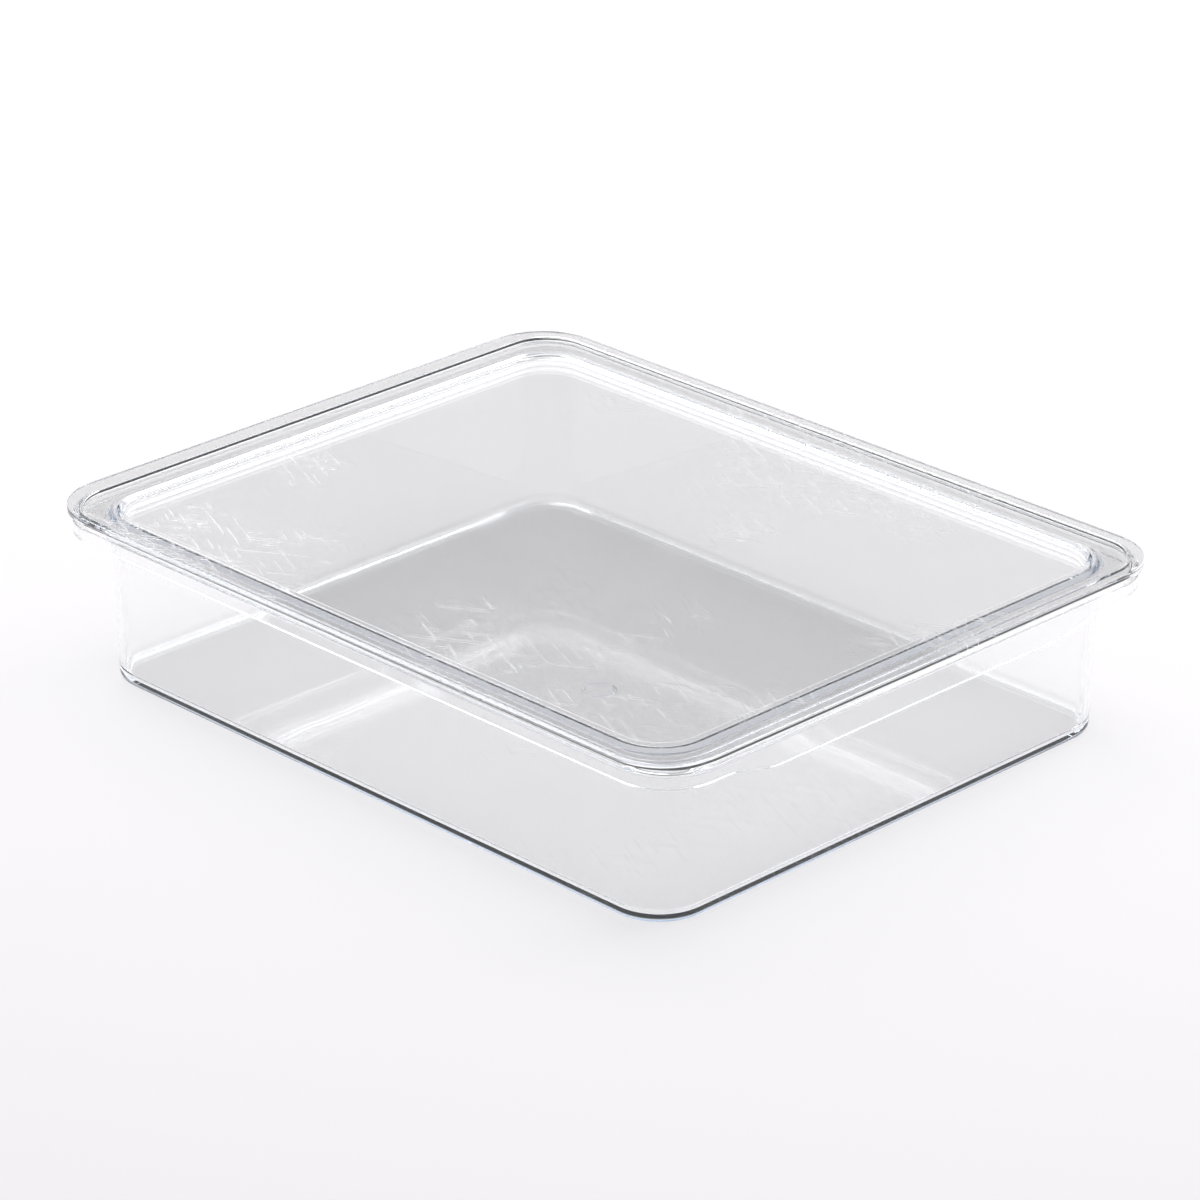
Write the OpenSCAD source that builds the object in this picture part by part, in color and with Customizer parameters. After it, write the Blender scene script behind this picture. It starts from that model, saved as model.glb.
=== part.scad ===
// Shallow clear storage box with a lift-off lid, two mouldings in clear plastic.
// Lengths are in millimetres and angles in degrees.
// The origin is the middle of the footprint on the table, +X runs along the long
// sides and +Z is up. The grips are on the two ends, at -X and +X.

/* [Box] */
// Length over the walls at the mouth
body_l = 274.8; // [220:0.2:380]
// Width over the walls at the mouth
body_w = 219; // [180:0.5:300]
// Height of the box without its lid
box_h = 60; // [40:0.5:140]
// Outer radius of the upright corners at the mouth
body_r = 19.5; // [14:0.5:28]
// Lean of the walls from upright
draft = 1.5; // [0.5:0.1:3]
// Thickness of the walls
wall = 2; // [1.4:0.1:3]
// Thickness of the floor
floor_t = 2.2; // [1.4:0.1:4]
// Radius under the outer edge of the floor
foot_r = 2.5; // [1:0.1:4]
// Radius inside, between the walls and the floor
floor_r = 3; // [1:0.1:6]
// Radius of the rounded inner edge of the mouth
mouth_r = 1.2; // [0.4:0.1:1.3]
// Diameter of the gate mark under the middle of the floor
gate_d = 12; // [6:0.5:20]
// Width of the ring groove of the gate mark
gate_w = 1; // [0.5:0.1:2]
// Depth of the ring groove of the gate mark
gate_depth = 0.4; // [0.2:0.1:0.8]

/* [Lip and grips] */
// Reach of the lip past the walls at the two ends
lip_end = 10.9; // [8:0.1:16]
// Reach of the lip past the walls along the long sides
lip_side = 8; // [6:0.1:14]
// Outer corner radius of the lip
lip_r = 20.7; // [12:0.1:26]
// Thickness of the lip and of the skirt that hangs from it
lip_t = 2; // [1.4:0.1:3]
// Radius of the lip's outer top edge
lip_edge_r = 1.6; // [0.4:0.1:1.9]
// Radius of the fillet between the walls and the lip
neck_r = 2; // [1:0.1:3]
// Height from the top of the lip to the lower edge of the skirt
skirt_h = 6.4; // [4:0.1:9]
// The same height at the middle of each end, where the skirt is a grip
grip_h = 10.7; // [9.5:0.1:16]
// Length of the curved run from the grip's edge up to the skirt's
grip_run = 26; // [12:1:32]
// Plain skirt between each grip and the corners of the lip
grip_gap = 4.8; // [1:0.1:12]

/* [Lid] */
// Thickness of the lid
lid_t = 2.2; // [1.6:0.1:3]
// How far the lid's rim stands out past the lip of the box
lid_over = 1.7; // [0:0.1:4]
// Width of the raised rim at the two ends
rim_end = 7.3; // [4:0.1:9]
// Width of the raised rim along the long sides
rim_side = 4.8; // [4:0.1:6]
// Corner radius of the shelf inside the raised rim
rim_r = 16; // [12:0.5:20]
// Height of the raised rim above the shelf inside it
rim_step = 1.3; // [0.8:0.1:2]
// Depth of the lid's panel below the shelf
recess = 3.7; // [3.4:0.1:12]
// Radius of the bends at the top and foot of the recess
recess_r = 1.6; // [0.8:0.1:1.7]
// Radius of the small edges of the rim
edge_r = 0.6; // [0.3:0.1:0.7]
// Gap all round between the lid's recess and the mouth of the box
lid_fit = 0.5; // [0.2:0.1:1]

/* [Hidden] */
$fn = 96;

lip_l = body_l + 2 * lip_end;
lip_w = body_w + 2 * lip_side;
lid_l = lip_l + 2 * lid_over;
lid_w = lip_w + 2 * lid_over;
lid_r = lip_r + lid_over;
shelf_l = lid_l - 2 * rim_end;
shelf_w = lid_w - 2 * rim_side;
mouth_l = body_l - 2 * wall;
mouth_w = body_w - 2 * wall;
mouth_corner = body_r - wall;

// The walls are upright down to this height, and lean below it
neck_z = box_h - lip_t - neck_r;
// How far the foot of the wall stands in from its head
lean = neck_z * tan(draft);

// Heights of the lid, which rests on the lip of the box
shelf_z = box_h + lid_t;
panel_z = shelf_z - recess;
rim_z = shelf_z + rim_step;
// The plug is the lid's recess seen from below: it drops into the mouth of the box
plug_l = mouth_l - 2 * lid_fit;
plug_w = mouth_w - 2 * lid_fit;
plug_r = mouth_corner - lid_fit;

// How far a cut runs past the faces that it opens
past = 1;

CLEAR = [0.86, 0.91, 0.94, 0.45];

// Rectangle between two opposite corners
module tile(a, b)
    translate(a) square(b - a);

// The part of an r by r square at a corner that lies outside the inscribed circle.
// It is added in a hollow corner, and taken away from an outer one.
module spandrel(corner, r, side, up)
    translate(corner) scale_sign(side, up)
        difference() {
            square(r);
            translate([r, r]) circle(r);
        }

// Turns a first-quadrant shape into any quadrant
module scale_sign(side, up)
    mirror([side < 0 ? 1 : 0, 0]) mirror([0, up < 0 ? 1 : 0]) children();

// Solid with a rounded rectangle for a plan and the child section for its edge.
// The section's first axis points outwards from the centres of the corner arcs, and
// the section starts at $core, which lies past the middle for the straight sides.
module solid_round(l, w, r) {
    run_x = l / 2 - r;
    run_y = w / 2 - r;
    for (x = [-1, 1], y = [-1, 1])
        translate([x * run_x, y * run_y, 0]) rotate_extrude() from_core(0) children();
    for (turn = [0 : 3]) {
        out = turn % 2 == 0 ? run_x : run_y;
        along = turn % 2 == 0 ? run_y : run_x;
        rotate(90 * turn) translate([out, along, 0]) rotate([90, 0, 0])
            linear_extrude(2 * along) from_core(-out - past) children();
    }
}

// Tells the child section where to start
module from_core($core)
    children();

// Plain section from the core out to u
module bar(u, z0, z1)
    tile([$core, z0], [u, z1]);

// Section of a tub: straight foot, bend of radius r, then a wall that leans out to
// the neck and stands upright above it
module tub_section(head_u, z0, z1, r) {
    slope = tan(draft);
    bend_u = head_u - lean + slope * (z0 + r) - r / cos(draft);
    polygon([
        [$core, z0],
        [bend_u, z0],
        [bend_u + r * cos(draft), z0 + r - r * sin(draft)],
        [head_u, neck_z],
        [head_u, z1],
        [$core, z1]
    ]);
    translate([bend_u, z0 + r]) circle(r);
}

// Outside of the walls, with the fillet under the lip
module wall_section() {
    tub_section(body_r, 0, box_h, foot_r);
    bar(body_r + neck_r, box_h - lip_t, box_h);
    spandrel([body_r, box_h - lip_t], neck_r, 1, -1);
}

// Inside of the walls, flared at the rounded edge of the mouth
module cavity_section() {
    tub_section(mouth_corner, floor_t, box_h + past, floor_r);
    spandrel([mouth_corner, box_h], mouth_r, 1, -1);
}

// Outside of the lip and its skirt, with a rounded top edge
module lip_section()
    difference() {
        bar(lip_r, box_h - skirt_h, box_h);
        spandrel([lip_r, box_h], lip_edge_r, -1, -1);
    }

// The space under the lip and inside the skirt
module under_lip_section() {
    inner_u = lip_r - lip_t;
    difference() {
        bar(inner_u, 0, box_h - lip_t);
        spandrel([inner_u, box_h - lip_t], lip_t / 2, -1, -1);
    }
}

// Outline of one grip, seen along X from the middle of its end. Its lower edge is
// straight, and at each side it sweeps up to the skirt's edge in two equal arcs.
module grip_outline() {
    low = box_h - grip_h;
    high = box_h - skirt_h;
    top = box_h - lip_t;
    sweep = 2 * atan((high - low) / grip_run);
    arc_r = grip_run / (2 * sin(sweep));
    end = lip_w / 2 - lip_r - grip_gap;
    middle = end - grip_run / 2;
    start = end - grip_run;
    tile([-start, low], [start, top]);
    for (side = [-1, 1])
        scale_sign(side, 1) {
            intersection() {
                tile([start - past, low - past], [middle, top]);
                translate([start, low + arc_r]) circle(arc_r);
            }
            difference() {
                tile([middle, low], [end, top]);
                translate([end, high - arc_r]) circle(arc_r);
            }
        }
}

module lip()
    difference() {
        union() {
            solid_round(lip_l, lip_w, lip_r) lip_section();
            rotate([90, 0, 90]) linear_extrude(lip_l, center = true) grip_outline();
        }
        solid_round(lip_l, lip_w, lip_r) under_lip_section();
    }

module gate_mark()
    translate([0, 0, -past]) difference() {
        cylinder(h = past + gate_depth, d = gate_d);
        translate([0, 0, -past]) cylinder(h = 3 * past + gate_depth, d = gate_d - 2 * gate_w);
    }

module box()
    color(CLEAR) difference() {
        union() {
            solid_round(body_l, body_w, body_r) wall_section();
            lip();
        }
        solid_round(body_l, body_w, body_r) cavity_section();
        gate_mark();
    }

// Raised rim of the lid, with small roundings on its outer edge
module rim_section() {
    under_z = rim_z - lid_t;
    difference() {
        bar(lid_r, under_z, rim_z);
        spandrel([lid_r, rim_z], edge_r, -1, -1);
        spandrel([lid_r, under_z], edge_r, -1, 1);
    }
}

// The hollow over the shelf, inside the raised rim
module shelf_hollow_section() {
    difference() {
        bar(rim_r, shelf_z, rim_z + past);
        spandrel([rim_r, shelf_z], edge_r, -1, 1);
    }
    spandrel([rim_r, rim_z], edge_r, 1, -1);
}

// Underside of the recess, which is the plug, with a bend round its foot
module plug_section() {
    under_z = panel_z - lid_t;
    difference() {
        bar(plug_r, under_z, shelf_z);
        spandrel([plug_r, under_z], recess_r, -1, 1);
    }
}

// The hollow over the panel, with a bend at its foot and one over its edge
module recess_section() {
    face_u = plug_r - lid_t;
    difference() {
        bar(face_u, panel_z, shelf_z + past);
        spandrel([face_u, panel_z], recess_r, -1, 1);
    }
    spandrel([face_u, shelf_z], recess_r, 1, -1);
}

module lid()
    color(CLEAR) difference() {
        union() {
            solid_round(lid_l, lid_w, lid_r) rim_section();
            solid_round(shelf_l, shelf_w, rim_r) bar(rim_r + lid_t - edge_r, box_h, shelf_z);
            solid_round(plug_l, plug_w, plug_r) plug_section();
        }
        solid_round(shelf_l, shelf_w, rim_r) shelf_hollow_section();
        solid_round(plug_l, plug_w, plug_r) recess_section();
    }

box();
lid();
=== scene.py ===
import math

import bmesh
import bpy
from bpy.props import FloatProperty, FloatVectorProperty, PointerProperty
from bpy.types import Operator, Panel, PropertyGroup
from mathutils import Matrix, Vector


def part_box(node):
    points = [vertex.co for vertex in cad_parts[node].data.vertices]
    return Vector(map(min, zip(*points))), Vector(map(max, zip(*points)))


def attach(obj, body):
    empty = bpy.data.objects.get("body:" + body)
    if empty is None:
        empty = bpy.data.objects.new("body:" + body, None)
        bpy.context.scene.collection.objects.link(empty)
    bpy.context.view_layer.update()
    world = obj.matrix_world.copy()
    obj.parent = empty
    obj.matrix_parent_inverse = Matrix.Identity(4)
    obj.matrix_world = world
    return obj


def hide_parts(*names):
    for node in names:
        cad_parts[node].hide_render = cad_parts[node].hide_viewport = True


bl_info = {
    "name": "Clear Storage Box",
    "version": (1, 0, 0),
    "blender": (4, 5, 0),
    "location": "View3D > Sidebar > Storage Box",
    "description": "Shallow clear storage box with a lift-off lid",
    "category": "Add Mesh",
}

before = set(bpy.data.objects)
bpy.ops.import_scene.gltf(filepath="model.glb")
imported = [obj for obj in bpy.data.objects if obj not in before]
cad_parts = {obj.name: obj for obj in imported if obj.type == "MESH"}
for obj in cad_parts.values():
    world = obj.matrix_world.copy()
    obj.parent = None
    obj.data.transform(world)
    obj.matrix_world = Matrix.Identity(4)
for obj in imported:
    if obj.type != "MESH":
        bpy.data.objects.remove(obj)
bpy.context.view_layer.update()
TUB_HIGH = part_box("box")[1]
LID_LOW, LID_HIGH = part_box("lid")

MM = 0.001
# Steps round a quarter of each rounded corner
CORNER_STEPS = 24
# Vertices in every ring: the corner steps and two straight pieces in each quarter
RING_STEPS = 4 * (CORNER_STEPS + 2)
# Distance at which the vertices of one loop are merged
WELD = 1e-6
# Distance at which those of a finished mesh are merged, and the hair left beside a fillet
SEAM = 10 * WELD
# Cuts across the sweep at each side of a grip
GRIP_STEPS = 14
# Steps round the section of each rounding: the large bends, the neck and the mouth, the
# fillet behind the skirt, the softer edge of the lid, and the smallest edges
BEND_STEPS = 8
NECK_STEPS = 6
SKIRT_FILLET_STEPS = 5
SOFT_EDGE_STEPS = 4
FINE_EDGE_STEPS = 3
# Heights in the sky, as sines of the angle up: where the backdrop fades out, and where
# the overhead light sets in
BACKDROP_END = (0.12, 0.28)
OVERHEAD_START = (0.52, 0.66)
# Where the backdrop fades out at its two sides, as cosines of the angle from the view
BACKDROP_SIDES = (0.35, 0.75)
# Distance from the middle of the floor to its edges
FLOOR_REACH = 6
# The camera's sensor in millimetres, and how far it sees in metres
SENSOR_WIDTH = 36
CLIP_END = 20
# Blender's wave texture turns by this many radians over one unit
WAVE_RATE = 20
# Handling scratches: the direction in degrees and the spacing of each of the two families
SCRATCH_FAMILIES = ((24, 2.3 * MM), (-31, 3.1 * MM))
# Length of one stroke of the handling scratches
STROKE_LENGTH = 16 * MM
# How far the scratch lines bend, and the detail and scale of the noise that bends them
SCRATCH_BENDING = 1.5
BENDING_DETAIL = 1
BENDING_SCALE = 0.6
# The part of the wave's crest that shows as a line
CREST_LEVELS = (0.94, 1.0)
# Depth and strength of the grooves that the scratches make, and how rough they are
SCRATCH_DEPTH = 0.05 * MM
SCRATCH_BUMP = 0.3
SCRATCH_ROUGHNESS = 0.35
# Height of the moulded surface's slow waves, and the noise cells that make them in a metre
SLOW_WAVE_HEIGHT = 0.3 * MM
SLOW_WAVE_SCALE = 38
SLOW_WAVE_DETAIL = 1
# Noise cells in a metre for the rubbed patches and the hazy ones, and the detail of both
RUBBED_SCALE = 14
HAZE_SCALE = 22
PATCH_DETAIL = 2
# Noise levels between which rubbing, strokes and haze go from none to full
RUBBED_LEVELS = (0.52, 0.64)
STROKE_LEVELS = (0.54, 0.60)
HAZE_LEVELS = (0.45, 0.75)
# The upright part of a face's normal, between faces that aren't rubbed and level ones that are
LEVEL_FACES = (0.8, 0.98)
# Power in the usual estimate of how much a smooth face mirrors as it turns edge on
MIRROR_POWER = 5
# The two softboxes stand beyond the box, to the left and the right
SOFTBOX_PLACES = {"left_softbox": (-1.2, 0.3, 1.5), "right_softbox": (0.3, 1.2, 1.5)}


def length(name, description, default):
    """A size in metres that a user may change."""
    return FloatProperty(
        name=name, description=description, default=default, min=0, unit="LENGTH", subtype="DISTANCE"
    )


def offset(name, description, default):
    """A distance in metres that may be negative."""
    return FloatProperty(
        name=name, description=description, default=default, unit="LENGTH", subtype="DISTANCE"
    )


def share(name, description, default):
    """A plain number from 0 to 1."""
    return FloatProperty(name=name, description=description, default=default, min=0, max=1, subtype="FACTOR")


def number(name, description, default):
    """A plain positive number."""
    return FloatProperty(name=name, description=description, default=default, min=0)


def turn(name, description, degrees):
    """An angle, given in degrees."""
    return FloatProperty(name=name, description=description, default=math.radians(degrees), subtype="ANGLE")


def colour(name, description, default):
    """A colour that a user may change."""
    return FloatVectorProperty(
        name=name, description=description, default=default, size=3, min=0, max=1, subtype="COLOR"
    )


class TubSizes(PropertyGroup):
    """Sizes of the box itself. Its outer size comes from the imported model."""

    lip_end: length("Lip at ends", "Reach of the lip past the end walls", 10.9 * MM)
    lip_side: length("Lip at sides", "Reach of the lip past the long walls", 8 * MM)
    lip_radius: length("Lip corner", "Outer corner radius of the lip", 20.7 * MM)
    lip_thickness: length("Lip thickness", "Thickness of the lip and its skirt", 2 * MM)
    lip_edge: length("Lip edge", "Rounding of the lip's outer top edge", 1.6 * MM)
    skirt_fillet: length("Skirt fillet", "Fillet between the lip and the skirt inside", 1 * MM)
    skirt_drop: length("Skirt drop", "Height from the lip's top to the skirt's edge", 6.4 * MM)
    skirt_edge: length("Skirt edge", "Rounding of the skirt's lower edges", 0.4 * MM)
    grip_drop: length("Grip drop", "Height from the lip's top to a grip's edge", 10.7 * MM)
    grip_run: length("Grip sweep", "Length of the curve from a grip up to the skirt", 26 * MM)
    grip_gap: length("Grip gap", "Plain skirt between a grip and the lip's corner", 4.8 * MM)
    body_radius: length("Body corner", "Outer radius of the upright corners at the mouth", 19.5 * MM)
    draft: turn("Draft", "Lean of the walls from upright", 1.5)
    wall: length("Wall", "Thickness of the walls", 2 * MM)
    floor: length("Floor", "Thickness of the floor", 2.2 * MM)
    neck_fillet: length("Neck fillet", "Fillet between the walls and the lip", 2 * MM)
    foot_round: length("Foot rounding", "Rounding under the outer edge of the floor", 2.5 * MM)
    floor_fillet: length("Floor fillet", "Fillet inside, between the walls and the floor", 3 * MM)
    mouth_round: length("Mouth rounding", "Rounding of the mouth's inner edge", 1.2 * MM)
    gate_diameter: length("Gate mark", "Diameter of the ring groove under the floor", 12 * MM)
    gate_width: length("Gate groove width", "Width of the ring groove", 1 * MM)
    gate_depth: length("Gate groove depth", "Depth of the ring groove", 0.4 * MM)


class LidSizes(PropertyGroup):
    """Sizes of the lid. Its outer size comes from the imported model."""

    thickness: length("Thickness", "Thickness of the lid", 2.2 * MM)
    rim_end: length("Rim at ends", "Width of the raised rim at the two ends", 7.3 * MM)
    rim_side: length("Rim at sides", "Width of the raised rim along the long sides", 4.8 * MM)
    rim_radius: length("Rim corner", "Outer corner radius of the lid", 22.4 * MM)
    shelf_radius: length("Shelf corner", "Corner radius of the shelf inside the rim", 16 * MM)
    rim_step: length("Rim step", "Height of the rim above the shelf", 1.3 * MM)
    recess: length("Recess", "Depth of the panel below the shelf", 3.7 * MM)
    bend: length("Bend", "Radius of the bends at the top and foot of the recess", 1.6 * MM)
    edge: length("Edge", "Rounding of the rim's inner top edge", 0.6 * MM)
    crisp_edge: length("Crisp edge", "Rounding of the lid's other small edges", 0.15 * MM)
    fit: length("Fit", "Gap between the lid's plug and the mouth", 0.5 * MM)
    air_film: length("Air film", "Gap drawn where the lid rests on the lip", 0.1 * MM)


class PlasticLooks(PropertyGroup):
    """Looks of the clear plastic."""

    tint: colour("Tint", "Colour that a thick piece of the plastic lets through", (0.50, 0.67, 0.90))
    tint_density: number("Tint density", "How fast the tint builds up, per metre", 6.5)
    refraction: number("Refraction", "Index of refraction of the plastic", 1.49)
    polish: share("Roughness", "Roughness of the clean surface", 0.015)
    waviness: share("Waviness", "Strength of the moulded surface's slow waves", 0.12)
    lid_scratches: share("Lid scratches", "Strength of the fine handling scratches on the lid", 0.8)
    box_scratches: share("Box scratches", "Strength of the fine handling scratches on the box", 0.2)
    scratch_white: share("Scratch white", "How white a scratch shows", 0.45)
    shading: share("Shading", "How far mirrored light darkens what lies beyond a face", 0.4)
    haze: share("Haze", "Strength of the faint dull patches", 0.04)
    guided: number("Guided light", "Mirrorings after which light goes straight on", 4.5)


class StudioSettings(PropertyGroup):
    """Floor, light and camera."""

    floor_colour: colour("Floor", "Colour of the floor", (0.90, 0.885, 0.90))
    floor_lift: share("Floor lift", "Light added to the floor as it is seen", 0.05)
    air_film: length("Air film", "Gap drawn between the box and the floor", 0.1 * MM)
    sky_top: number("Light above", "Strength of the soft light overhead", 0.8)
    sky_belt: number("Dim belt", "Strength of the belt between the overhead light and the backdrop", 0.06)
    sky_low: number("Backdrop", "Strength of the bright backdrop low down beyond the box", 1.2)
    sky_near: number("Light in front", "Strength behind the camera", 0.03)
    lamp_size: length("Softbox size", "Side of each of the two square softboxes", 1.3)
    lamp_power: number("Softbox power", "Power of each softbox in watts", 14)
    lens: FloatProperty(name="Lens", description="Focal length in millimetres", default=156.81, min=1)
    azimuth: turn("Azimuth", "Direction the camera looks in, from the +X axis", 135.36)
    elevation: turn("Elevation", "How far down the camera looks", 24.27)
    distance: length("Distance", "From the camera to the middle of the footprint", 1.7818)
    aim_right: offset("Aim right", "How far the camera stands to its right", 0.24 * MM)
    aim_up: offset("Aim up", "How far the camera stands up in its own frame", 33.43 * MM)


def inside(plan, step):
    """The plan (length, width, corner radius) drawn in by one step all round."""
    return tuple(size - 2 * step for size in plan[:2]) + (plan[2] - step,)


def extrude_to(bm, vert, place):
    """Draws an edge from a vertex to a place, and returns the vertex there."""
    new = bmesh.ops.extrude_vert_indiv(bm, verts=[vert])["verts"][0]
    bmesh.ops.translate(bm, verts=[new], vec=Vector(place) - new.co)
    return new


def ring(bm, plan, height):
    """Closed loop of edges round a rounded rectangle: a quarter is drawn, then mirrored twice."""
    run, width, radius = plan
    older = set(bm.edges)
    start = bmesh.ops.create_vert(bm, co=(run / 2, 0, height))["vert"][0]
    before_arc = extrude_to(bm, start, (run / 2, width / 2 - radius, height))
    arc = bmesh.ops.spin(
        bm,
        geom=[before_arc],
        cent=(run / 2 - radius, width / 2 - radius, height),
        axis=(0, 0, 1),
        angle=math.pi / 2,
        steps=CORNER_STEPS,
    )
    after_arc = next(part for part in arc["geom_last"] if isinstance(part, bmesh.types.BMVert))
    extrude_to(bm, after_arc, (0, width / 2, height))
    for axis in "XY":
        edges = [edge for edge in bm.edges if edge not in older]
        verts = list({vert for edge in edges for vert in edge.verts})
        bmesh.ops.mirror(bm, geom=verts + edges, matrix=Matrix(), merge_dist=WELD, axis=axis)
    return [edge for edge in bm.edges if edge not in older]


def circle(bm, diameter, height):
    """Closed loop of edges round a circle, with as many steps as a ring has."""
    level = Matrix.Translation((0, 0, height))
    made = bmesh.ops.create_circle(
        bm, cap_ends=False, segments=RING_STEPS, radius=diameter / 2, matrix=level
    )
    return list({edge for vert in made["verts"] for edge in vert.link_edges})


def rise(pair):
    """The height from the first loop of a pair to the second."""
    first, second = (loop[0].verts[0].co.z for loop in pair)
    return abs(second - first)


def bridge(bm, loops):
    """Skins a row of loops, each with the next, and the flat strips before the upright ones."""
    for first, second in sorted(zip(loops, loops[1:]), key=rise):
        bmesh.ops.bridge_loops(bm, edges=first + second)


def close_flat(bm, loop, margin):
    """Closes a loop with a flat face, with a border round it that leaves room for a bend."""
    face = bmesh.ops.contextual_create(bm, geom=loop)["faces"][0]
    bmesh.ops.inset_region(bm, faces=[face], thickness=margin, use_even_offset=True)


def round_off(bm, loop, radius, segments):
    """Rounds the edges of a loop."""
    bmesh.ops.bevel(
        bm, geom=loop, offset=radius, offset_type="OFFSET", segments=segments, profile=0.5,
        affect="EDGES", material=-1, clamp_overlap=False,
    )


def finish_mesh(bm, name):
    """Welds, orients and hands over a closed mesh as an object at the origin."""
    bmesh.ops.remove_doubles(bm, verts=bm.verts, dist=SEAM)
    bmesh.ops.dissolve_degenerate(bm, edges=bm.edges, dist=WELD)
    bmesh.ops.recalc_face_normals(bm, faces=bm.faces)
    for face in bm.faces:
        face.smooth = True
    mesh = bpy.data.meshes.new(name)
    bm.to_mesh(mesh)
    bm.free()
    piece = bpy.data.objects.new(name, mesh)
    bpy.context.scene.collection.objects.link(piece)
    even = piece.modifiers.new("Flat faces stay flat", "WEIGHTED_NORMAL")
    even.mode = "FACE_AREA"
    even.keep_sharp = True
    return piece


def grip_end(sizes):
    """Distance from the middle of an end to where a grip's sweep meets the plain skirt."""
    return TUB_HIGH.y - sizes.lip_radius - sizes.grip_gap


def grip_drop_at(sizes, side):
    """How far the skirt's edge hangs lower, at a distance from the middle of an end."""
    fall = sizes.grip_drop - sizes.skirt_drop
    sweep = 2 * math.atan(fall / sizes.grip_run)
    arc = sizes.grip_run / (2 * math.sin(sweep))
    along = min(max(grip_end(sizes) - side, 0), sizes.grip_run)
    if along < sizes.grip_run / 2:
        return arc - math.sqrt(arc**2 - along**2)
    return fall - arc + math.sqrt(arc**2 - (sizes.grip_run - along) ** 2)


def lower_grips(bm, sizes):
    """Cuts the skirt at steps along each grip's sweep and draws its lower edge down."""
    end = grip_end(sizes)
    for step in range(GRIP_STEPS + 1):
        for side in (-1, 1):
            place = side * (end - sizes.grip_run * step / GRIP_STEPS)
            geometry = list(bm.verts) + list(bm.edges) + list(bm.faces)
            bmesh.ops.bisect_plane(bm, geom=geometry, dist=WELD, plane_co=(0, place, 0), plane_no=(0, 1, 0))
    # The skirt's lower edge with its roundings lies past this end and under this height
    inner_end = TUB_HIGH.x - sizes.lip_thickness
    low = TUB_HIGH.z - sizes.skirt_drop + 2 * sizes.skirt_edge
    for vert in bm.verts:
        if abs(vert.co.x) > inner_end - WELD and vert.co.z < low:
            vert.co.z -= grip_drop_at(sizes, abs(vert.co.y))


def tub_mesh(sizes):
    """The box as one closed moulding: walls, floor, lip, skirt and grips."""
    bm = bmesh.new()
    top = TUB_HIGH.z
    lip = (2 * TUB_HIGH.x, 2 * TUB_HIGH.y, sizes.lip_radius)
    body = (lip[0] - 2 * sizes.lip_end, lip[1] - 2 * sizes.lip_side, sizes.body_radius)
    mouth = inside(body, sizes.wall)
    skirt = inside(lip, sizes.lip_thickness)
    under_lip = top - sizes.lip_thickness
    neck = under_lip - sizes.neck_fillet
    skirt_end = top - sizes.skirt_drop
    lean = math.tan(sizes.draft)
    gate = sizes.gate_diameter
    core = gate - 2 * sizes.gate_width

    gate_loops = [circle(bm, core, 0), circle(bm, core, sizes.gate_depth)]
    gate_loops += [circle(bm, gate, sizes.gate_depth), circle(bm, gate, 0)]
    foot = ring(bm, inside(body, lean * neck), 0)
    neck_outside = ring(bm, body, neck)
    neck_corner = ring(bm, body, under_lip)
    skirt_corner = ring(bm, skirt, under_lip)
    skirt_inside = ring(bm, skirt, skirt_end)
    skirt_outside = ring(bm, lip, skirt_end)
    lip_top = ring(bm, lip, top)
    mouth_top = ring(bm, mouth, top)
    neck_inside = ring(bm, mouth, neck)
    floor_edge = ring(bm, inside(mouth, lean * (neck - sizes.floor)), sizes.floor)
    bridge(bm, gate_loops + [
        foot, neck_outside, neck_corner, skirt_corner, skirt_inside, skirt_outside, lip_top,
        mouth_top, neck_inside, floor_edge,
    ])
    bmesh.ops.contextual_create(bm, geom=gate_loops[0])
    close_flat(bm, floor_edge, 2 * sizes.floor_fillet)
    bmesh.ops.recalc_face_normals(bm, faces=bm.faces)

    # Where the wall leans its corner is blunter, and a bend's sides are shorter than its radius
    blunt = math.tan((math.pi / 2 - sizes.draft) / 2)
    round_off(bm, foot, sizes.foot_round * blunt, BEND_STEPS)
    round_off(bm, floor_edge, sizes.floor_fillet * blunt, BEND_STEPS)
    # The neck's fillet ends a hair short of the ring at its foot, so that it doesn't run into it
    round_off(bm, neck_corner, sizes.neck_fillet - SEAM, NECK_STEPS)
    round_off(bm, skirt_corner, sizes.skirt_fillet, SKIRT_FILLET_STEPS)
    round_off(bm, lip_top, sizes.lip_edge, BEND_STEPS)
    round_off(bm, mouth_top, sizes.mouth_round, NECK_STEPS)
    for loop in (skirt_inside, skirt_outside):
        round_off(bm, loop, sizes.skirt_edge, FINE_EDGE_STEPS)
    lower_grips(bm, sizes)
    return bm


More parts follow.
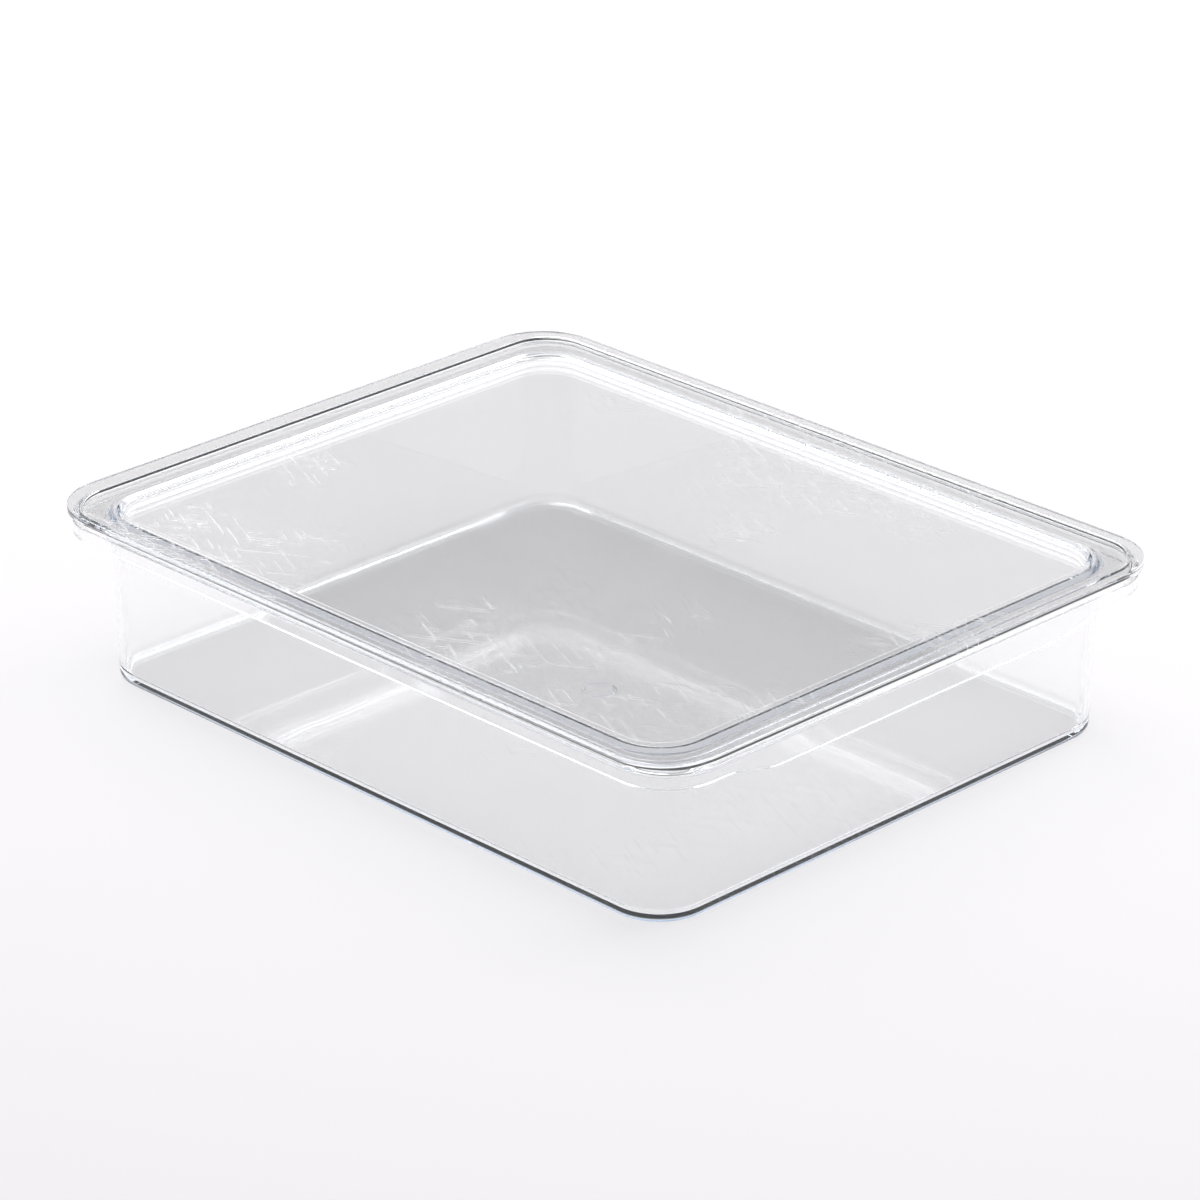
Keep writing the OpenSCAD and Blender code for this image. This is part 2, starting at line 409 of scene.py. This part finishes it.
def lid_mesh(sizes):
    """The lid as one closed moulding: raised rim, shelf, recess and panel."""
    bm = bmesh.new()
    rim_z = LID_HIGH.z
    rim_under = rim_z - sizes.thickness
    shelf_z = rim_z - sizes.rim_step
    shelf_under = shelf_z - sizes.thickness + sizes.air_film
    panel_z = shelf_z - sizes.recess
    rim = (2 * LID_HIGH.x, 2 * LID_HIGH.y, sizes.rim_radius)
    shelf = (rim[0] - 2 * sizes.rim_end, rim[1] - 2 * sizes.rim_side, sizes.shelf_radius)
    step_under = inside(shelf, sizes.edge - sizes.thickness)
    tub = bpy.context.scene.tub_sizes
    body = (2 * (TUB_HIGH.x - tub.lip_end), 2 * (TUB_HIGH.y - tub.lip_side), tub.body_radius)
    plug = inside(body, tub.wall + sizes.fit)
    face = inside(plug, sizes.thickness)

    panel_edge = ring(bm, face, panel_z)
    recess_top = ring(bm, face, shelf_z)
    shelf_edge = ring(bm, shelf, shelf_z)
    rim_inside = ring(bm, shelf, rim_z)
    rim_top = ring(bm, rim, rim_z)
    rim_bottom = ring(bm, rim, rim_under)
    step_outside = ring(bm, step_under, rim_under)
    step_bottom = ring(bm, step_under, shelf_under)
    plug_top = ring(bm, plug, shelf_under)
    plug_foot = ring(bm, plug, LID_LOW.z)
    bridge(bm, [
        panel_edge, recess_top, shelf_edge, rim_inside, rim_top, rim_bottom, step_outside,
        step_bottom, plug_top, plug_foot,
    ])
    close_flat(bm, panel_edge, 2 * sizes.bend)
    close_flat(bm, plug_foot, 2 * sizes.bend)
    bmesh.ops.recalc_face_normals(bm, faces=bm.faces)

    for loop in (panel_edge, recess_top, plug_foot):
        round_off(bm, loop, sizes.bend, BEND_STEPS)
    round_off(bm, rim_inside, sizes.edge, SOFT_EDGE_STEPS)
    for loop in (shelf_edge, rim_top, rim_bottom, step_outside, step_bottom, plug_top):
        round_off(bm, loop, sizes.crisp_edge, FINE_EDGE_STEPS)
    return bm


class Nodes:
    """Short calls for building one node tree."""

    def __init__(self, tree):
        self.tree = tree
        tree.nodes.clear()

    def new(self, kind, **settings):
        node = self.tree.nodes.new(kind)
        for name, value in settings.items():
            setattr(node, name, value)
        return node

    def link(self, output, target):
        self.tree.links.new(output, target)

    def feed(self, sockets, values):
        """Sets each socket to its number, or links it to its output."""
        for socket, value in zip(sockets, values):
            if isinstance(value, (int, float)):
                socket.default_value = value
            else:
                self.link(value, socket)

    def math(self, operation, first, second=0.0):
        node = self.new("ShaderNodeMath", operation=operation)
        self.feed(node.inputs, (first, second))
        return node.outputs[0]

    def map_range(self, value, low, high, start=0.0, end=1.0):
        """Smooth step from start to end as the value goes from low to high."""
        node = self.new("ShaderNodeMapRange", interpolation_type="SMOOTHSTEP")
        self.feed(node.inputs, (value, low, high, start, end))
        return node.outputs["Result"]


def patches(nodes, place, scale, low, high):
    """Soft blotches: noise between two levels, as 0 to 1."""
    noise = nodes.new("ShaderNodeTexNoise")
    noise.inputs["Scale"].default_value = scale
    noise.inputs["Detail"].default_value = PATCH_DETAIL
    nodes.link(place, noise.inputs["Vector"])
    return nodes.map_range(noise.outputs["Fac"], low, high)


def hairlines(nodes, place, degrees, spacing):
    """Fine broken scratches that run one way: narrow crests of a wave, cut into strokes."""
    turned = nodes.new("ShaderNodeMapping")
    turned.inputs["Rotation"].default_value[2] = math.radians(degrees)
    nodes.link(place, turned.inputs["Vector"])
    wave = nodes.new("ShaderNodeTexWave", bands_direction="Y")
    wave.inputs["Scale"].default_value = 2 * math.pi / (WAVE_RATE * spacing)
    wave.inputs["Distortion"].default_value = SCRATCH_BENDING
    wave.inputs["Detail"].default_value = BENDING_DETAIL
    wave.inputs["Detail Scale"].default_value = BENDING_SCALE
    nodes.link(turned.outputs["Vector"], wave.inputs["Vector"])
    crests = nodes.map_range(wave.outputs["Fac"], *CREST_LEVELS)
    drawn_out = nodes.new("ShaderNodeMapping")
    drawn_out.inputs["Scale"].default_value = (1 / STROKE_LENGTH, 1 / spacing, 0)
    nodes.link(turned.outputs["Vector"], drawn_out.inputs["Vector"])
    strokes = patches(nodes, drawn_out.outputs["Vector"], 1, *STROKE_LEVELS)
    return nodes.math("MULTIPLY", crests, strokes)


def rubbed_lines(nodes, place, strength):
    """Handling scratches, as 0 to 1: only on level faces, and only in patches."""
    normal = nodes.new("ShaderNodeSeparateXYZ")
    nodes.link(nodes.new("ShaderNodeNewGeometry").outputs["Normal"], normal.inputs["Vector"])
    level = nodes.map_range(nodes.math("ABSOLUTE", normal.outputs["Z"]), *LEVEL_FACES)
    rubbed = nodes.math("MULTIPLY", patches(nodes, place, RUBBED_SCALE, *RUBBED_LEVELS), level)
    families = [hairlines(nodes, place, degrees, spacing) for degrees, spacing in SCRATCH_FAMILIES]
    lines = nodes.math("MULTIPLY", nodes.math("MAXIMUM", *families), rubbed)
    return nodes.math("MULTIPLY", lines, strength)


def plastic_relief(nodes, place, lines, looks):
    """The surface's normal, with its slow moulded waves and the grooves of the scratches."""
    waves = nodes.new("ShaderNodeTexNoise")
    waves.inputs["Scale"].default_value = SLOW_WAVE_SCALE
    waves.inputs["Detail"].default_value = SLOW_WAVE_DETAIL
    nodes.link(place, waves.inputs["Vector"])
    wave_bump = nodes.new("ShaderNodeBump")
    wave_bump.inputs["Strength"].default_value = looks.waviness
    wave_bump.inputs["Distance"].default_value = SLOW_WAVE_HEIGHT
    nodes.link(waves.outputs["Fac"], wave_bump.inputs["Height"])
    line_bump = nodes.new("ShaderNodeBump", invert=True)
    line_bump.inputs["Strength"].default_value = SCRATCH_BUMP
    line_bump.inputs["Distance"].default_value = SCRATCH_DEPTH
    nodes.link(lines, line_bump.inputs["Height"])
    nodes.link(wave_bump.outputs["Normal"], line_bump.inputs["Normal"])
    return line_bump.outputs["Normal"]


def worn_plastic(nodes, place, lines, looks):
    """The plastic as it is seen: polished, a little hazy in patches, and whitish in the scratches."""
    haze = nodes.math("MULTIPLY", patches(nodes, place, HAZE_SCALE, *HAZE_LEVELS), looks.haze)
    rough = nodes.math("ADD", nodes.math("MULTIPLY", lines, SCRATCH_ROUGHNESS), haze)
    plastic = nodes.new("ShaderNodeBsdfPrincipled")
    plastic.inputs["Base Color"].default_value = (1, 1, 1, 1)
    plastic.inputs["Transmission Weight"].default_value = 1
    plastic.inputs["IOR"].default_value = looks.refraction
    nodes.link(nodes.math("ADD", rough, looks.polish), plastic.inputs["Roughness"])
    nodes.link(plastic_relief(nodes, place, lines, looks), plastic.inputs["Normal"])
    powder = nodes.new("ShaderNodeBsdfDiffuse")
    powder.inputs["Color"].default_value = (1, 1, 1, 1)
    worn = nodes.new("ShaderNodeMixShader")
    nodes.link(nodes.math("MULTIPLY", lines, looks.scratch_white), worn.inputs["Fac"])
    nodes.link(plastic.outputs["BSDF"], worn.inputs[1])
    nodes.link(powder.outputs["BSDF"], worn.inputs[2])
    return worn.outputs["Shader"]


def straight_through(nodes, looks):
    """The plastic as light passes straight through it, less some of what each face mirrors."""
    facing = nodes.new("ShaderNodeLayerWeight").outputs["Facing"]
    head_on = ((looks.refraction - 1) / (looks.refraction + 1)) ** 2
    edge_on = nodes.math("POWER", facing, MIRROR_POWER)
    mirrored = nodes.math("MULTIPLY", edge_on, looks.shading * (1 - head_on))
    passed = nodes.math("SUBTRACT", 1 - looks.shading * head_on, mirrored)
    through = nodes.new("ShaderNodeBsdfTransparent")
    nodes.link(passed, through.inputs["Color"])
    return through.outputs["BSDF"]


def clear_plastic(name, looks, scratched):
    """Clear polished plastic that lamps and bounced light shine straight through."""
    material = bpy.data.materials.new(name)
    material.use_nodes = True
    nodes = Nodes(material.node_tree)
    place = nodes.new("ShaderNodeTexCoord").outputs["Object"]
    lines = rubbed_lines(nodes, place, scratched)

    path = nodes.new("ShaderNodeLightPath")
    light_rays = nodes.math("MAXIMUM", path.outputs["Is Shadow Ray"], path.outputs["Is Diffuse Ray"])
    # Light that is mirrored again and again inside a wall goes straight on in the end
    guided = nodes.math("GREATER_THAN", path.outputs["Glossy Depth"], looks.guided)
    choose = nodes.new("ShaderNodeMixShader")
    nodes.link(nodes.math("MAXIMUM", light_rays, guided), choose.inputs["Fac"])
    nodes.link(worn_plastic(nodes, place, lines, looks), choose.inputs[1])
    nodes.link(straight_through(nodes, looks), choose.inputs[2])

    tint = nodes.new("ShaderNodeVolumeAbsorption")
    tint.inputs["Color"].default_value = (*looks.tint, 1)
    tint.inputs["Density"].default_value = looks.tint_density
    output = nodes.new("ShaderNodeOutputMaterial")
    nodes.link(choose.outputs["Shader"], output.inputs["Surface"])
    nodes.link(tint.outputs["Volume"], output.inputs["Volume"])
    return material


def pale_floor(settings):
    """Plain matt floor, lifted a little towards white where it is seen, and keeping its shadows."""
    material = bpy.data.materials.new("pale_floor")
    material.use_nodes = True
    nodes = Nodes(material.node_tree)
    matt = nodes.new("ShaderNodeBsdfDiffuse")
    matt.inputs["Color"].default_value = (*settings.floor_colour, 1)
    lift = nodes.new("ShaderNodeEmission")
    path = nodes.new("ShaderNodeLightPath")
    seen = nodes.math("MAXIMUM", path.outputs["Is Camera Ray"], path.outputs["Is Transmission Ray"])
    seen = nodes.math("MAXIMUM", seen, path.outputs["Is Glossy Ray"])
    nodes.link(nodes.math("MULTIPLY", seen, settings.floor_lift), lift.inputs["Strength"])
    both = nodes.new("ShaderNodeAddShader")
    nodes.link(matt.outputs["BSDF"], both.inputs[0])
    nodes.link(lift.outputs["Emission"], both.inputs[1])
    output = nodes.new("ShaderNodeOutputMaterial")
    nodes.link(both.outputs["Shader"], output.inputs["Surface"])
    return material


def studio_floor(settings):
    """Large level floor, a hair under the box."""
    bm = bmesh.new()
    under = Matrix.Translation((0, 0, -settings.air_film))
    bmesh.ops.create_grid(bm, x_segments=1, y_segments=1, size=FLOOR_REACH, matrix=under)
    mesh = bpy.data.meshes.new("studio_floor")
    bm.to_mesh(mesh)
    bm.free()
    mesh.materials.append(pale_floor(settings))
    floor = bpy.data.objects.new("studio_floor", mesh)
    bpy.context.scene.collection.objects.link(floor)
    return floor


def studio_sky(settings):
    """Soft light from overhead, a dim belt under it, and a bright backdrop beyond the box."""
    world = bpy.data.worlds.new("studio_sky")
    world.use_nodes = True
    nodes = Nodes(world.node_tree)
    direction = nodes.new("ShaderNodeTexCoord").outputs["Generated"]
    away = nodes.new("ShaderNodeVectorMath", operation="DOT_PRODUCT")
    away.inputs[1].default_value = (math.cos(settings.azimuth), math.sin(settings.azimuth), 0)
    nodes.link(direction, away.inputs[0])
    split = nodes.new("ShaderNodeSeparateXYZ")
    nodes.link(direction, split.inputs["Vector"])
    height = split.outputs["Z"]
    beyond = nodes.map_range(height, *BACKDROP_END, settings.sky_low, settings.sky_belt)
    horizon = nodes.map_range(away.outputs["Value"], *BACKDROP_SIDES, settings.sky_near, beyond)
    strength = nodes.map_range(height, *OVERHEAD_START, horizon, settings.sky_top)
    light = nodes.new("ShaderNodeBackground")
    light.inputs["Color"].default_value = (1, 1, 1, 1)
    nodes.link(strength, light.inputs["Strength"])
    output = nodes.new("ShaderNodeOutputWorld")
    nodes.link(light.outputs["Background"], output.inputs["Surface"])
    return world


def soft_lamp(name, place, size, power):
    """Square area lamp that faces the middle of the box."""
    data = bpy.data.lights.new(name, "AREA")
    data.size = size
    data.energy = power
    lamp = bpy.data.objects.new(name, data)
    lamp.location = place
    lamp.rotation_euler = (-Vector(place)).to_track_quat("-Z", "Y").to_euler()
    bpy.context.scene.collection.objects.link(lamp)


def photo_camera(settings):
    """Camera at the photograph's viewing angle."""
    data = bpy.data.cameras.new("photo_camera")
    data.sensor_width = SENSOR_WIDTH
    data.lens = settings.lens
    data.clip_end = CLIP_END
    camera = bpy.data.objects.new("photo_camera", data)
    flat, drop = math.cos(settings.elevation), math.sin(settings.elevation)
    ahead = Vector((flat * math.cos(settings.azimuth), flat * math.sin(settings.azimuth), -drop))
    right = ahead.cross(Vector((0, 0, 1))).normalized()
    up = right.cross(ahead)
    camera.location = right * settings.aim_right + up * settings.aim_up - ahead * settings.distance
    camera.rotation_euler = Matrix((right, up, -ahead)).transposed().to_euler()
    bpy.context.scene.collection.objects.link(camera)
    bpy.context.scene.camera = camera


class STORAGE_OT_tub(Operator):
    """Makes the box, which stands for its CAD node"""

    bl_idname = "storage.make_tub"
    bl_label = "Box"

    def execute(self, context):
        scene = context.scene
        looks = scene.plastic_looks
        piece = finish_mesh(tub_mesh(scene.tub_sizes), "clear_tub")
        piece.data.materials.append(clear_plastic("box_plastic", looks, looks.box_scratches))
        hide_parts("box")
        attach(piece, "box")
        return {"FINISHED"}


class STORAGE_OT_lid(Operator):
    """Makes the lid, which stands for its CAD node"""

    bl_idname = "storage.make_lid"
    bl_label = "Lid"

    def execute(self, context):
        scene = context.scene
        looks = scene.plastic_looks
        piece = finish_mesh(lid_mesh(scene.lid_sizes), "clear_lid")
        piece.data.materials.append(clear_plastic("lid_plastic", looks, looks.lid_scratches))
        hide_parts("lid")
        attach(piece, "lid")
        return {"FINISHED"}


class STORAGE_OT_studio(Operator):
    """Makes the floor, the light and the camera"""

    bl_idname = "storage.make_studio"
    bl_label = "Studio"

    def execute(self, context):
        scene = context.scene
        settings = scene.studio_settings
        floor = studio_floor(settings)
        scene.world = studio_sky(settings)
        for name, place in SOFTBOX_PLACES.items():
            soft_lamp(name, place, settings.lamp_size, settings.lamp_power)
        photo_camera(settings)
        scene.view_settings.view_transform = "Standard"
        # From some angles light crosses a dozen faces of the two mouldings
        scene.cycles.max_bounces = 40
        scene.cycles.transmission_bounces = 24
        scene.cycles.glossy_bounces = 24
        scene.cycles.transparent_max_bounces = 32
        return {"FINISHED"}


class STORAGE_PT_panel(Panel):
    """Lists what the add-on makes"""

    bl_idname = "STORAGE_PT_panel"
    bl_label = "Storage Box"
    bl_space_type = "VIEW_3D"
    bl_region_type = "UI"
    bl_category = "Storage Box"

    def draw(self, context):
        for operator in (STORAGE_OT_tub, STORAGE_OT_lid, STORAGE_OT_studio):
            self.layout.operator(operator.bl_idname)
        for group in SETTINGS:
            column = self.layout.column()
            for name in getattr(context.scene, group).__annotations__:
                column.prop(getattr(context.scene, group), name)


SETTINGS = {
    "tub_sizes": TubSizes,
    "lid_sizes": LidSizes,
    "plastic_looks": PlasticLooks,
    "studio_settings": StudioSettings,
}
OPERATORS = (STORAGE_OT_tub, STORAGE_OT_lid, STORAGE_OT_studio)


def register():
    """Registers the classes and hangs the settings on the scene."""
    for cls in (*SETTINGS.values(), *OPERATORS, STORAGE_PT_panel):
        bpy.utils.register_class(cls)
    for name, group in SETTINGS.items():
        setattr(bpy.types.Scene, name, PointerProperty(type=group))


def unregister():
    """Takes back what register did."""
    for name in SETTINGS:
        delattr(bpy.types.Scene, name)
    for cls in (STORAGE_PT_panel, *reversed(OPERATORS), *reversed(SETTINGS.values())):
        bpy.utils.unregister_class(cls)


def main():
    """Makes the box, the lid and the studio."""
    register()
    bpy.ops.storage.make_studio()
    bpy.ops.storage.make_tub()
    bpy.ops.storage.make_lid()


if __name__ == "__main__":
    main()
